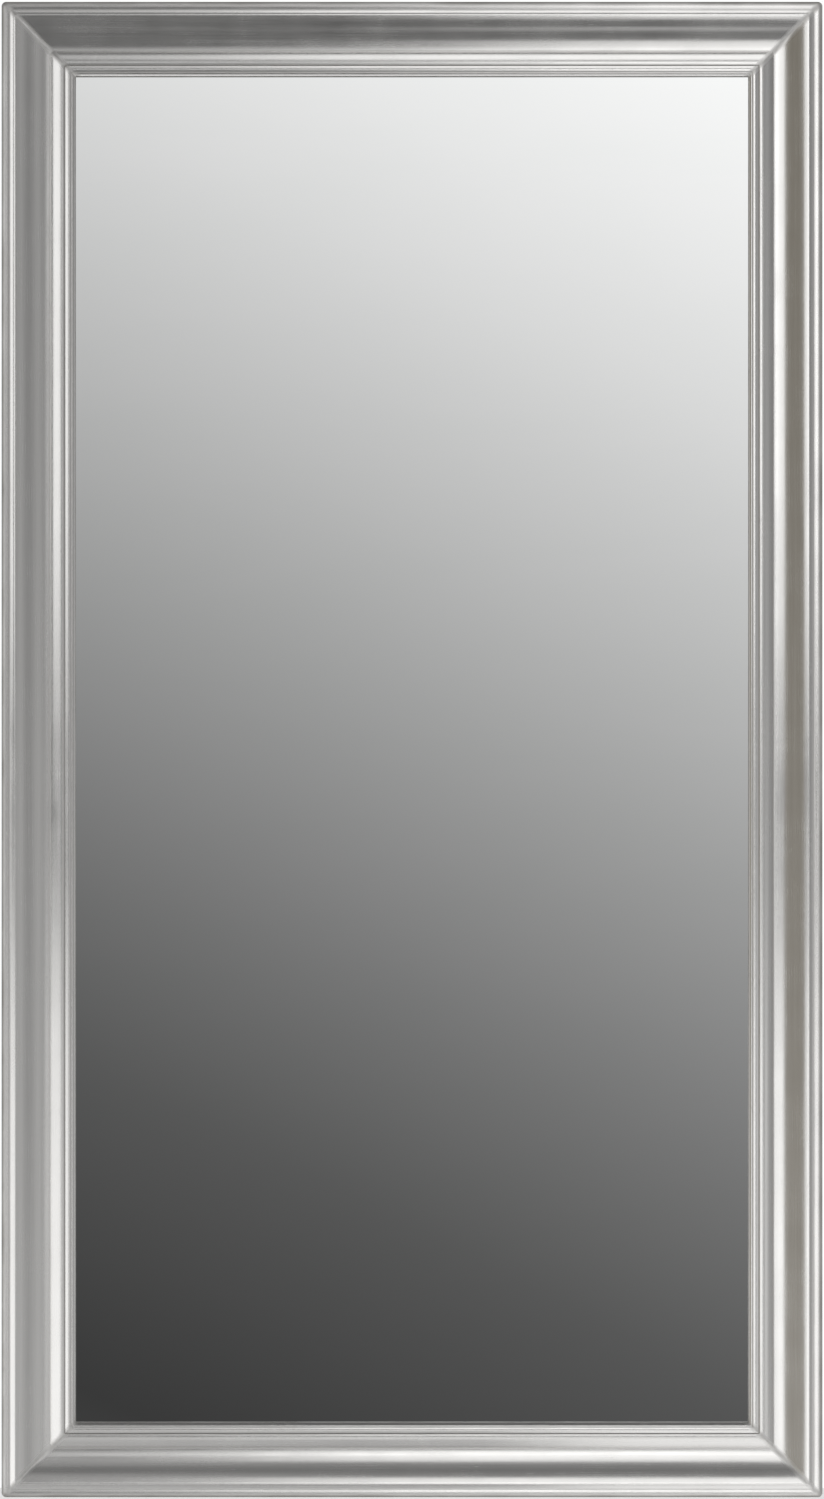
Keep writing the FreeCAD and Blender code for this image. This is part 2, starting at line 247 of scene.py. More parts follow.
bare_pine, tree, shader = new_material("bare_pine", {"Specular IOR Level": 0.3})
late_wood = (0.66, 0.45, 0.25, 1.0)
early_wood = (0.78, 0.6, 0.38, 1.0)
fibre_brown = (0.52, 0.33, 0.17, 1.0)
joint_brown = (0.2, 0.12, 0.06, 1.0)
rail_uv = add_node(tree, "ShaderNodeUVMap", uv_map="UVMap").outputs[0]
pine_rings = lay_grain(tree, rail_uv, length=0.35, width=5.0 * MM, waver=0.5)
pine_fibres = lay_grain(tree, rail_uv, length=0.02, width=0.4 * MM, waver=0.1)
pine_colour = mix_colour(tree, pine_rings, late_wood, early_wood)
fibre_share = calc(tree, "MULTIPLY", pine_fibres, 0.35)
pine_colour = mix_colour(tree, fibre_share, pine_colour, fibre_brown)
joint_line = add_node(tree, "ShaderNodeMapRange", {
    "Value": gap_from_mitre(tree), "From Min": 0.25 * MM, "From Max": 0.6 * MM,
    "To Min": 0.75, "To Max": 0.0,
}).outputs[0]
pine_colour = mix_colour(tree, joint_line, pine_colour, joint_brown)
feed(tree, shader["Base Color"], lay_dust(tree, rail_uv, pine_colour, amount=0.25))
feed(tree, shader["Roughness"], remap(tree, pine_fibres, 0.62, 0.8))
feed(tree, shader["Normal"], add_bump(tree, pine_fibres, depth=0.15 * MM, strength=0.4))


def arc_over(start, end, rise, steps):
    """Section points after start on an arc whose middle stands `rise` over the line to end."""
    chord = end - start
    along = chord.normalized()
    square = Vector((-along.y, along.x))
    radius = (chord.length ** 2 / 4 + rise ** 2) / (2 * rise)
    half_turn = math.asin(chord.length / 2 / abs(radius))
    points = []
    for step in range(1, steps + 1):
        turn = half_turn * (2 * step / steps - 1)
        offset = square * (rise - radius * (1 - math.cos(turn)))
        points.append((start + end) / 2 + along * abs(radius) * math.sin(turn) + offset)
    return points


def arc_level_at(level, other, steps):
    """Section points after `level` on an arc that runs level there and turns to the other end."""
    run, climb = other - level
    radius = (run ** 2 + climb ** 2) / (2 * climb)
    turns = [2 * math.atan(climb / run) * step / steps for step in range(1, steps + 1)]
    return [level + radius * Vector((math.sin(turn), 1 - math.cos(turn))) for turn in turns]


# Section of the moulding in millimetres: in from the outer edge, and forward of the rear face.
rear_planing = 0.1
riser_hollow = 0.28
ogee_swell = 0.5
fillet_swell = 0.15
rear_corner = Vector((0.0, rear_planing))
wall_top = Vector((0.0, 17.0))
roll_top = wall_top + Vector((3.2, 2.6))
roll_end = roll_top + Vector((4.2, -0.5))
crest = roll_end + Vector((4.4, 1.7))
crest_end = crest + Vector((2.4, -0.36))
ogee_turn = crest_end + Vector((9.5, -4.44))
ogee_end = ogee_turn + Vector((19.0, -6.18))
bead_foot = ogee_end + Vector((0.0, 0.4))
bead_top = bead_foot + Vector((10.7, 3.6))
bead_end = bead_top + Vector((2.0, -0.2))
lip_foot = bead_end - Vector((0.0, 1.3))
lip_top = lip_foot + Vector((4.2, 0.95))
lip_end = lip_top + Vector((2.0, -0.4))
fillet_foot = lip_end - Vector((0.0, 0.4))
fillet_end = fillet_foot + Vector((1.5, 0.0))
sight_top = Vector((65.0, 10.2))
sight_wall = sight_top - Vector((0.0, 0.2))
sight_foot = Vector((65.0, 7.0))
rabbet_top = Vector((57.0, 7.0))
rabbet_foot = Vector((57.0, rear_planing))
section_end = rear_corner + Vector((0.05, 0.0))
leafed = [rear_corner, wall_top]
leafed += arc_level_at(roll_top, wall_top, steps=8)[-2::-1] + [roll_top]
leafed += arc_level_at(roll_top, roll_end, steps=6)
leafed += arc_over(roll_end, crest, -riser_hollow, steps=6)
leafed += arc_level_at(crest, crest_end, steps=5)
leafed += arc_over(crest_end, ogee_turn, ogee_swell, steps=8)
leafed += arc_level_at(ogee_end, ogee_turn, steps=16)[-2::-1] + [ogee_end, bead_foot]
leafed += arc_level_at(bead_top, bead_foot, steps=12)[-2::-1] + [bead_top]
leafed += arc_level_at(bead_top, bead_end, steps=5) + [lip_foot]
leafed += arc_level_at(lip_top, lip_foot, steps=7)[-2::-1] + [lip_top]
leafed += arc_level_at(lip_top, lip_end, steps=6) + [fillet_foot]
leafed += arc_over(fillet_foot, fillet_end, fillet_swell, steps=5)
leafed += [sight_top, sight_wall, sight_foot]
section = leafed + [rabbet_top, rabbet_foot, section_end]

# How far the leaf rounds the mitre, in millimetres: well at the outer edge and in the hollow, hardly
# at the sight edge.
hollow_middle = 34.0
softness = (
    (wall_top.x, 4.0), (crest.x, 3.0), (ogee_turn.x, 1.0), (hollow_middle, 4.2),
    (ogee_end.x, 4.2), (bead_top.x, 1.8), (sight_top.x, 0.6),
)
# Painted shade: the leaf is darkened round these quirks, along the outer edge and on the sight wall,
# with how far and how dark.
quirks = (roll_end, ogee_end, bead_end, lip_end)
quirk_reach = 0.8
edge_shade = 2.5
edge_reach = 3.2
sight_shade = 2.2


def corner_softness(point):
    """How far the leaf rounds the mitre at a point of the section."""
    for (before, soft_before), (after, soft_after) in zip(softness, softness[1:]):
        if point.x <= after:
            share = (point.x - before) / (after - before)
            return soft_before + (soft_after - soft_before) * share


def painted_shade_at(point):
    """How much painted shade darkens the leaf: at the outer edge, in the quirks and where it meets the
    glass.
    """
    if point in (sight_wall, sight_foot):
        return sight_shade
    outer_edge = edge_shade * math.exp(-(point.x / edge_reach) ** 4)
    in_quirks = [math.exp(-((point - quirk).length / quirk_reach) ** 2) for quirk in quirks]
    return max(outer_edge, *in_quirks)


section_mesh = bpy.data.meshes.new("moulding_section")
section_edges = [(i, (i + 1) % len(section)) for i in range(len(section))]
section_mesh.from_pydata([(p.x * MM, p.y * MM, 0.0) for p in section], section_edges, [])
girth = [0.0]
for before, after in zip(section, section[1:]):
    girth.append(girth[-1] + (after - before).length * MM)
section_values = {
    "inset": [p.x * MM for p in section],
    "height": [p.y * MM for p in section],
    "girth": girth,
    "rounding": [
        0.0 if p in (rabbet_top, rabbet_foot) else corner_softness(p) * MM for p in section
    ],
    # Painted shade: darkest along the outer edge and on the sight wall, softer in the quirks.
    "quirk_tone": [painted_shade_at(p) for p in section],
}
for name, values in section_values.items():
    section_mesh.attributes.new(name, "FLOAT", "POINT").data.foreach_set("value", values)

# The moulding runs along a straight line of stations, and each station slides to its place: along
# the straight, then round the softened corner to the mitre.
moulding, given, made = new_group("GeometryNodeTree", "mitred_moulding", {
    "Section": "Geometry", "Half Length": "Float", "Half Span": "Float", "Rear Face": "Float",
    "Turn": "Float", "Stations": "Int", "Leaf End": "Float", "Leaf": "Material",
    "Wood": "Material",
}, {"Geometry": "Geometry"})


def named(tree, name):
    """The output that reads one of the mesh's named values."""
    node = add_node(tree, "GeometryNodeInputNamedAttribute", {"Name": name}, data_type="FLOAT")
    return node.outputs[0]


section_curve = add_node(moulding, "GeometryNodeMeshToCurve", {
    "Mesh": given["Section"],
}).outputs[0]
path = add_node(moulding, "GeometryNodeCurvePrimitiveLine").outputs[0]
path = add_node(moulding, "GeometryNodeResampleCurve", {
    "Curve": path, "Count": given["Stations"],
}).outputs[0]
along_path = add_node(moulding, "GeometryNodeSplineParameter").outputs["Factor"]
path = add_node(moulding, "GeometryNodeStoreNamedAttribute", {
    "Geometry": path, "Name": "station", "Value": remap(moulding, along_path, -1.0, 1.0),
}, data_type="FLOAT", domain="POINT").outputs[0]
swept = add_node(moulding, "GeometryNodeCurveToMesh", {
    "Curve": path, "Profile Curve": section_curve, "Fill Caps": True,
}).outputs[0]

station = named(moulding, "station")
inset = named(moulding, "inset")
rounding = named(moulding, "rounding")
twice_out = calc(moulding, "MULTIPLY", calc(moulding, "ABSOLUTE", station), 2.0)
straight_share = calc(moulding, "MINIMUM", twice_out, 1.0)
bend_share = calc(moulding, "SUBTRACT", twice_out, straight_share)
bend = calc(moulding, "MULTIPLY", bend_share, math.radians(45))
to_corner = calc(moulding, "SUBTRACT", given["Half Length"], inset)
straight = calc(moulding, "SUBTRACT", to_corner, rounding)
round_run = calc(moulding, "MULTIPLY", rounding, calc(moulding, "SINE", bend))
fall_share = calc(moulding, "SUBTRACT", 1.0, calc(moulding, "COSINE", bend))
round_fall = calc(moulding, "MULTIPLY", rounding, fall_share)
reach = calc(moulding, "MULTIPLY_ADD", straight_share, straight, round_run)
along = calc(moulding, "MULTIPLY", calc(moulding, "SIGN", station), reach)
across = calc(moulding, "SUBTRACT", calc(moulding, "ADD", inset, round_fall), given["Half Span"])
forward = calc(moulding, "SUBTRACT", given["Rear Face"], named(moulding, "height"))
place = add_node(moulding, "ShaderNodeCombineXYZ", {0: along, 1: forward, 2: across}).outputs[0]
moved = add_node(moulding, "GeometryNodeSetPosition", {
    "Geometry": swept, "Position": place,
}).outputs[0]
uv = add_node(moulding, "ShaderNodeCombineXYZ", {
    0: calc(moulding, "ADD", along, given["Turn"]), 1: named(moulding, "girth"),
}).outputs[0]
mapped = add_node(moulding, "GeometryNodeStoreNamedAttribute", {
    "Geometry": moved, "Name": "UVMap", "Value": uv,
}, data_type="FLOAT2", domain="CORNER").outputs[0]
turn = add_node(moulding, "ShaderNodeCombineXYZ", {1: given["Turn"]}).outputs[0]
turned = add_node(moulding, "GeometryNodeTransform", {
    "Geometry": mapped, "Rotation": turn,
}).outputs[0]
is_bare = calc(moulding, "GREATER_THAN", named(moulding, "girth"), given["Leaf End"])
single = add_node(moulding, "GeometryNodeRealizeInstances", {"Geometry": turned}).outputs[0]
leaf_set = add_node(moulding, "GeometryNodeSetMaterial", {
    "Geometry": single, "Material": given["Leaf"],
}).outputs[0]
wood_set = add_node(moulding, "GeometryNodeSetMaterial", {
    "Geometry": leaf_set, "Selection": is_bare, "Material": given["Wood"],
}).outputs[0]
feed(moulding, made["Geometry"], wood_set)

crease_angle = math.radians(38)


def grow(name, mesh, group, values):
    """An object whose plain mesh is what a Geometry Nodes group makes of a mesh and values."""
    piece = bpy.data.objects.new(name, mesh)
    bpy.context.scene.collection.objects.link(piece)
    modifier = piece.modifiers.new(group.name, "NODES")
    modifier.node_group = group
    for socket in group.interface.items_tree:
        if socket.name in values:
            modifier[socket.identifier] = values[socket.name]
    depsgraph = bpy.context.evaluated_depsgraph_get()
    grown = bpy.data.meshes.new_from_object(
        piece.evaluated_get(depsgraph), preserve_all_data_layers=True, depsgraph=depsgraph
    )
    piece.modifiers.remove(modifier)
    piece.data = grown
    grown.shade_smooth()
    grown.set_sharp_from_angle(angle=crease_angle)
    return piece


rails = {
    "frame_bottom_rail": (half_width, half_height, 0),
    "frame_left_stile": (half_height, half_width, 90),
    "frame_top_rail": (half_width, half_height, 180),
    "frame_right_stile": (half_height, half_width, 270),
}
rail_stations = 33
leaf_end = girth[len(leafed) - 1] - 0.1 * MM
leafed_rails = {}
for name, (half_length, half_span, turn_degrees) in rails.items():
    rail = grow("leafed_" + name, section_mesh, moulding, {
        "Half Length": half_length, "Half Span": half_span, "Rear Face": rear_face,
        "Turn": math.radians(turn_degrees), "Stations": rail_stations, "Leaf End": leaf_end,
        "Leaf": silver_leaf, "Wood": bare_pine,
    })
    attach(rail, "frame")
    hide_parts(name)
    leafed_rails[name] = rail

# V nails: strips of spring steel folded to a V and pressed into the back of each mitre, two to a
# corner. Only their rear edges show, just proud of the planed wood.
spring_steel, tree, shader = new_material("spring_steel", {"Metallic": 1.0})
blued_steel = (0.2, 0.21, 0.24, 1.0)
bright_steel = (0.4, 0.41, 0.42, 1.0)
steel_bloom = lay_patches(tree, place_on_part(tree), size=3.0 * MM)
feed(tree, shader["Base Color"], mix_colour(tree, steel_bloom, blued_steel, bright_steel))
feed(tree, shader["Roughness"], remap(tree, steel_bloom, 0.5, 0.34))
feed(tree, shader["Normal"], add_bump(tree, steel_bloom, depth=0.05 * MM, strength=0.3))


def dress(node, material):
    """Gives a CAD node's own mesh its finish."""
    for material_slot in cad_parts[node].material_slots:
        material_slot.material = material


dress("corner_v_nails", spring_steel)

# Mirror glass: 4 mm float glass, silvered and painted grey behind, its edges plainly ground.
# It lies in the rabbet against the lip, and its face is clean but for faint wiping marks.
silvered_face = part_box("mirror_glass")[0].y + 0.2 * MM
mirror_glass, tree, shader = new_material("mirror_glass", {"Metallic": 1.0})
wiped_silver = (0.9, 0.91, 0.905, 1.0)
clear_silver = (0.915, 0.92, 0.918, 1.0)
dark_paint = (0.2, 0.22, 0.23, 1.0)
pale_paint = (0.26, 0.28, 0.29, 1.0)
paint_roughness = 0.55
glass_place = place_on_part(tree)
glass_depth = add_node(tree, "ShaderNodeSeparateXYZ", {0: glass_place}).outputs["Y"]
is_behind = calc(tree, "GREATER_THAN", glass_depth, silvered_face)
wipes = lay_grain(tree, glass_place, length=0.5, width=0.12, waver=1.5)
face_colour = mix_colour(tree, wipes, wiped_silver, clear_silver)
paint_patches = lay_patches(tree, glass_place, size=30.0 * MM)
paint_colour = mix_colour(tree, paint_patches, dark_paint, pale_paint)
feed(tree, shader["Base Color"], mix_colour(tree, is_behind, face_colour, paint_colour))
face_haze = remap(tree, wipes, 0.004, 0.016)
paint_haze = calc(tree, "MULTIPLY", is_behind, paint_roughness)
feed(tree, shader["Roughness"], calc(tree, "MAXIMUM", face_haze, paint_haze))
dress("mirror_glass", mirror_glass)

# Edge spacers: short strips of black rubber between the glass's edge and the rabbet, two on each
# side. They are pushed in dry and keep the glass centred.
spacer_rubber, tree, shader = new_material("spacer_rubber", {"Specular IOR Level": 0.3})
fresh_black = (0.012, 0.012, 0.013, 1.0)
dull_black = (0.03, 0.03, 0.031, 1.0)
spacer_place = place_on_part(tree)
spacer_skin = lay_patches(tree, spacer_place, size=2.0 * MM)
spacer_colour = mix_colour(tree, spacer_skin, fresh_black, dull_black)
feed(tree, shader["Base Color"], lay_dust(tree, spacer_place, spacer_colour, amount=0.2))
feed(tree, shader["Roughness"], remap(tree, spacer_skin, 0.6, 0.78))
feed(tree, shader["Normal"], add_bump(tree, spacer_skin, depth=0.1 * MM, strength=0.5))
dress("edge_spacers", spacer_rubber)

# Back panel: 3 mm hardboard with its screen-marked side to the wall. It drops into the rabbet behind
# the glass, lies flush with the rear of the frame, and the turn buttons hold it there.
hardboard, tree, shader = new_material("hardboard", {"Specular IOR Level": 0.25})
dark_board = (0.235, 0.132, 0.068, 1.0)
pale_board = (0.275, 0.16, 0.084, 1.0)
fibre_tan = (0.38, 0.25, 0.145, 1.0)
pressed_brown = (0.13, 0.068, 0.032, 1.0)
screen_pitch = 1.6 * MM
waves_per_scale = 20 / (2 * math.pi)
board_place = place_on_part(tree)
board_clouds = lay_patches(tree, board_place, size=0.12)
board_fibres = lay_grain(tree, board_place, length=4.0 * MM, width=0.7 * MM, waver=2.5)
board_colour = mix_colour(tree, board_clouds, dark_board, pale_board)
fibre_share = calc(tree, "MULTIPLY", board_fibres, 0.55)
board_colour = mix_colour(tree, fibre_share, board_colour, fibre_tan)
dusty_board = lay_dust(tree, board_place, board_colour, amount=0.1)
screen_wires = [
    add_node(tree, "ShaderNodeTexWave", {
        "Vector": board_place, "Scale": 1 / (waves_per_scale * screen_pitch),
    }, bands_direction=direction).outputs["Fac"]
    for direction in ("X", "Z")
]
screen_marks = calc(tree, "MAXIMUM", *screen_wires)
marked_share = calc(tree, "MULTIPLY", screen_marks, 0.3)
feed(tree, shader["Base Color"], mix_colour(tree, marked_share, dusty_board, pressed_brown))
feed(tree, shader["Roughness"], remap(tree, board_fibres, 0.85, 0.66))
board_relief = calc(tree, "MULTIPLY_ADD", board_fibres, 0.8, screen_marks)
feed(tree, shader["Normal"], add_bump(tree, board_relief, depth=0.12 * MM, strength=0.6))
dress("back_panel", hardboard)

# Turn buttons: tongues stamped from 1.5 mm zinc-plated steel, their edges rounded in tumbling.
# Each pivots on its own screw at the edge of the rabbet, and its nose reaches over the back panel.
zinc_steel, tree, shader = new_material("zinc_steel", {"Metallic": 1.0})
blue_zinc = (0.56, 0.57, 0.59, 1.0)
straw_zinc = (0.74, 0.735, 0.7, 1.0)
lined_zinc = (0.42, 0.43, 0.45, 1.0)
zinc_place = place_on_part(tree)
zinc_clouds = lay_patches(tree, zinc_place, size=5.0 * MM)
zinc_lines = lay_grain(tree, zinc_place, length=8.0 * MM, width=0.3 * MM, waver=0.2)
zinc_colour = mix_colour(tree, zinc_clouds, blue_zinc, straw_zinc)
line_share = calc(tree, "MULTIPLY", zinc_lines, 0.3)
feed(tree, shader["Base Color"], mix_colour(tree, line_share, zinc_colour, lined_zinc))
cloud_sheen = remap(tree, zinc_clouds, 0.26, 0.38)
line_sheen = remap(tree, zinc_lines, 0.0, 0.1)
feed(tree, shader["Roughness"], calc(tree, "ADD", cloud_sheen, line_sheen))
feed(tree, shader["Normal"], add_bump(tree, zinc_lines, depth=0.02 * MM, strength=0.3))

button_sheet = 1.5 * MM
button_width = 11.0 * MM
button_nose = 18.0 * MM
button_tail = 6.5 * MM
button_hole = 1.68 * MM
stamped_round = 0.35 * MM
button_inset = 47.0 * MM
rail_button_reach = 165.0 * MM
stile_button_reach = 450.0 * MM
rail_line = half_height - button_inset
stile_line = half_width - button_inset
button_places = []
for x in (-rail_button_reach, rail_button_reach):
    button_places += [(x, -rail_line, 0), (x, rail_line, 180)]
for z in (-stile_button_reach, 0.0, stile_button_reach):
    button_places += [(-stile_line, z, 90), (stile_line, z, 270)]


def on_rear(x, z, turn):
    """The place of a piece made around the origin, set on the rear face and turned about Y."""
    return Matrix.Translation((x, rear_face, z)) @ Matrix.Rotation(math.radians(turn), 4, "Y")


def arc_points(centre, radius, start, end, steps):
    """Points round a centre from one angle to another, in degrees."""
    angles = [math.radians(start + (end - start) * step / steps) for step in range(steps + 1)]
    return [(centre[0] + radius * math.cos(a), centre[1] + radius * math.sin(a)) for a in angles]


def stamped_plate(name, outlines, sheet, edge_round):
    """A flat mesh on the XZ plane, one sheet thick towards +Y, with closed outlines and round edges."""
    flat = bpy.data.curves.new(name, "CURVE")
    flat.dimensions = "2D"
    flat.fill_mode = "BOTH"
    flat.extrude = sheet / 2 - edge_round
    flat.bevel_depth = edge_round
    flat.bevel_resolution = 3
    flat.offset = -edge_round
    for outline in outlines:
        spline = flat.splines.new("POLY")
        spline.points.add(len(outline) - 1)
        for point, (x, z) in zip(spline.points, outline):
            point.co = (x, z, 0.0, 1.0)
        spline.use_cyclic_u = True
    holder = bpy.data.objects.new(name, flat)
    mesh = bpy.data.meshes.new_from_object(holder)
    bpy.data.objects.remove(holder)
    stand_up = Matrix.Rotation(math.radians(90), 4, "X")
    mesh.transform(Matrix.Translation((0.0, sheet / 2, 0.0)) @ stand_up)
    return mesh


def finish_piece(name, mesh, material, body, node):
    """A piece with its mesh in place: its finish, the body it rides on and the node it replaces."""
    shape = bmesh.new()
    shape.from_mesh(mesh)
    bmesh.ops.remove_doubles(shape, verts=shape.verts, dist=1e-6)
    bmesh.ops.recalc_face_normals(shape, faces=shape.faces)
    shape.to_mesh(mesh)
    shape.free()
    mesh.materials.clear()
    mesh.materials.append(material)
    mesh.shade_smooth()
    mesh.set_sharp_from_angle(angle=crease_angle)
    piece = bpy.data.objects.new(name, mesh)
    bpy.context.scene.collection.objects.link(piece)
    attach(piece, body)
    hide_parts(node)


end_round = button_width / 2
tongue = arc_points((0.0, button_nose - end_round), end_round, 0, 180, steps=16)
tongue += arc_points((0.0, end_round - button_tail), end_round, 180, 360, steps=16)
pivot_hole = arc_points((0.0, 0.0), button_hole, 0, 345, steps=23)
for number, (x, z, turn) in enumerate(button_places, 1):
    node = "turn_button_%02d" % number
    plate = stamped_plate("stamped_" + node, [tongue, pivot_hole], button_sheet, stamped_round)
    plate.transform(on_rear(x, z, turn))
    finish_piece("stamped_" + node, plate, zinc_steel, node, node)

# Button screws: zinc-plated pan-head wood screws with a cross recess, one through each button into
# the rail. They stop just short of pinching the button, so that it still turns.
head_overhang = 1.7 * MM
head_rim = 0.6 * MM
head_dome = 1.2 * MM
head_edge = 0.15 * MM
dome_steps = 8
screw_point = 2.5 * MM
recess_reach = 1.9 * MM
recess_width = 0.9 * MM
recess_depth = 1.0 * MM
recess_foot_share = 0.62
recess_mouth_share = 1.15
screw_seed = 4


def lathe(outline, steps):
    """A shape turned about the Y axis from points of radius and place that end on the axis."""
    shape = bmesh.new()
    points = [shape.verts.new((radius, place, 0.0)) for radius, place in outline]
    edges = [shape.edges.new(pair) for pair in zip(points, points[1:])]
    bmesh.ops.spin(
        shape, geom=points + edges, cent=(0, 0, 0), axis=(0, 1, 0), angle=2 * math.pi, steps=steps
    )
    bmesh.ops.remove_doubles(shape, verts=shape.verts, dist=1e-7)
    bmesh.ops.recalc_face_normals(shape, faces=shape.faces)
    return shape


def to_mesh(name, shape):
    """A mesh from a finished shape."""
    mesh = bpy.data.meshes.new(name)
    shape.to_mesh(mesh)
    shape.free()
    return mesh


def pan_screw(name, shank_radius, sheet, bite):
    """A screw through a sheet on the rear face, with a tapered cross sunk in its domed head."""
    head_radius = shank_radius + head_overhang
    crown = sheet + head_rim + head_dome
    dome_radius = (head_radius ** 2 + head_dome ** 2) / (2 * head_dome)
    dome_turn = math.asin(head_radius / dome_radius)
    outline = [(0.0, -bite), (shank_radius, screw_point - bite), (shank_radius, sheet)]
    outline += [(head_radius - head_edge, sheet), (head_radius, sheet + head_edge)]
    for step in range(dome_steps, -1, -1):
        turn = dome_turn * step / dome_steps
        outline.append((dome_radius * math.sin(turn), crown - dome_radius * (1 - math.cos(turn))))
    screw = bpy.data.objects.new(name, to_mesh(name, lathe(outline, steps=28)))
    arm, half = recess_reach, recess_width / 2
    cross = [(arm, -half), (arm, half), (half, half), (half, arm), (-half, arm), (-half, half)]
    cross += [(-x, -z) for x, z in cross]
    cutter = bmesh.new()
    foot, mouth = (
        [cutter.verts.new((x * share, place, z * share)) for x, z in cross]
        for share, place in (
            (recess_foot_share, crown - recess_depth), (recess_mouth_share, crown + recess_depth),
        )
    )
    cutter.faces.new(foot)
    cutter.faces.new(mouth)
    for a in range(len(cross)):
        b = (a + 1) % len(cross)
        cutter.faces.new((foot[a], foot[b], mouth[b], mouth[a]))
    bmesh.ops.recalc_face_normals(cutter, faces=cutter.faces)
    driver = bpy.data.objects.new("cross_driver", to_mesh("cross_driver", cutter))
    for piece in (screw, driver):
        bpy.context.scene.collection.objects.link(piece)
    sink = screw.modifiers.new("cross_recess", "BOOLEAN")
    sink.operation = "DIFFERENCE"
    sink.object = driver
    depsgraph = bpy.context.evaluated_depsgraph_get()
    evaluated = screw.evaluated_get(depsgraph)
    screw.data = bpy.data.meshes.new_from_object(evaluated, depsgraph=depsgraph)
    screw.modifiers.remove(sink)
    bpy.data.objects.remove(driver)
    return screw


driven_screws, given, made = new_group("GeometryNodeTree", "driven_screws", {
    "Places": "Geometry", "Screw": "Object", "Seed": "Int", "Finish": "Material",
}, {"Geometry": "Geometry"})
one_screw = add_node(driven_screws, "GeometryNodeObjectInfo", {
    "Object": given["Screw"],
}).outputs["Geometry"]
stop_angle = add_node(driven_screws, "FunctionNodeRandomValue", {
    2: 0.0, 3: math.pi, "Seed": given["Seed"],
}).outputs[1]
stop_turn = add_node(driven_screws, "ShaderNodeCombineXYZ", {1: stop_angle}).outputs[0]
set_screws = add_node(driven_screws, "GeometryNodeInstanceOnPoints", {
    "Points": given["Places"], "Instance": one_screw, "Rotation": stop_turn,
}).outputs[0]
single = add_node(driven_screws, "GeometryNodeRealizeInstances", {
    "Geometry": set_screws,
}).outputs[0]
zinc_set = add_node(driven_screws, "GeometryNodeSetMaterial", {
    "Geometry": single, "Material": given["Finish"],
}).outputs[0]
feed(driven_screws, made["Geometry"], zinc_set)


def drive_screws(name, screw, places, node):
    """All the screws of one kind as one piece of the frame."""
    points = bpy.data.meshes.new(name + "_places")
    points.from_pydata(places, [], [])
    driven = grow(name, points, driven_screws, {
        "Screw": screw, "Seed": screw_seed, "Finish": zinc_steel,
    })
    bpy.data.objects.remove(screw)
    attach(driven, "frame")
    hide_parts(node)


button_screw_places = [(x, rear_face, z) for x, z, turn in button_places]
button_screw = pan_screw("button_screw", 1.6 * MM, button_sheet, bite=9.0 * MM)
drive_screws("driven_button_screws", button_screw, button_screw_places, "turn_button_screws")

# Hanger straps: 1 mm zinc-plated strip, folded double round the ring's bar and held by two screws.
# One pair hangs the mirror upright, the other pair on its side.
hangers = {
    "upright_left": (-336.5 * MM, 335.0 * MM, 0),
    "upright_right": (336.5 * MM, 335.0 * MM, 0),
    "sideways_top": (-265.0 * MM, 636.5 * MM, 270),
    "sideways_bottom": (-265.0 * MM, -636.5 * MM, 270),
}
for hanger in hangers:
    dress("hanger_strap_" + hanger, zinc_steel)

# Hanger screws: the button screws' heads on a thicker shank, zinc plated too. Two go through each
# strap, drawn up tight, because they carry the mirror's weight.
strap_thickness = 2.0 * MM
strap_holes = (-11.0 * MM, -29.0 * MM)
strap_screw_places = [
    on_rear(x, z, turn) @ Vector((0.0, 0.0, hole))
    for x, z, turn in hangers.values() for hole in strap_holes
]
hanger_screw = pan_screw("hanger_screw", 1.75 * MM, strap_thickness, bite=11.0 * MM)
drive_screws("driven_hanger_screws", hanger_screw, strap_screw_places, "hanger_screws")

# Hanger rings: 2.5 mm zinc-plated wire bent to a D, its bar loose in the strap's knuckle so that the
# ring swings out to take a wall hook or a screw.
wire_radius = 1.25 * MM
wire_sides = 20
bar_height = 2.38 * MM
half_bar = 7.5 * MM
bend_radius = 3.0 * MM
bow_radius = half_bar + bend_radius
leg_top = 6.0 * MM

bent_wire, given, made = new_group("GeometryNodeTree", "bent_wire", {
    "Path": "Geometry", "Wire Radius": "Float", "Sides": "Int", "Finish": "Material",
}, {"Geometry": "Geometry"})
wire_path = add_node(bent_wire, "GeometryNodeMeshToCurve", {"Mesh": given["Path"]}).outputs[0]
wire_round = add_node(bent_wire, "GeometryNodeCurvePrimitiveCircle", {
    "Resolution": given["Sides"], "Radius": given["Wire Radius"],
}).outputs[0]
wire = add_node(bent_wire, "GeometryNodeCurveToMesh", {
    "Curve": wire_path, "Profile Curve": wire_round,
}).outputs[0]
single = add_node(bent_wire, "GeometryNodeRealizeInstances", {"Geometry": wire}).outputs[0]
zinc_set = add_node(bent_wire, "GeometryNodeSetMaterial", {
    "Geometry": single, "Material": given["Finish"],
}).outputs[0]
feed(bent_wire, made["Geometry"], zinc_set)

loop = arc_points((half_bar, bend_radius), bend_radius, -90, 0, steps=8)
loop += arc_points((0.0, leg_top), bow_radius, 0, 180, steps=36)
loop += arc_points((-half_bar, bend_radius), bend_radius, 180, 270, steps=8)
loop_edges = [(i, (i + 1) % len(loop)) for i in range(len(loop))]
for hanger, (x, z, turn) in hangers.items():
    node = "hanger_ring_" + hanger
    path_mesh = bpy.data.meshes.new(node + "_path")
    path_mesh.from_pydata([(u, bar_height, w) for u, w in loop], loop_edges, [])
    path_mesh.transform(on_rear(x, z, turn))
    ring = grow("bent_" + node, path_mesh, bent_wire, {
        "Wire Radius": wire_radius, "Sides": wire_sides, "Finish": zinc_steel,
    })
    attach(ring, node)
    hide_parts(node)

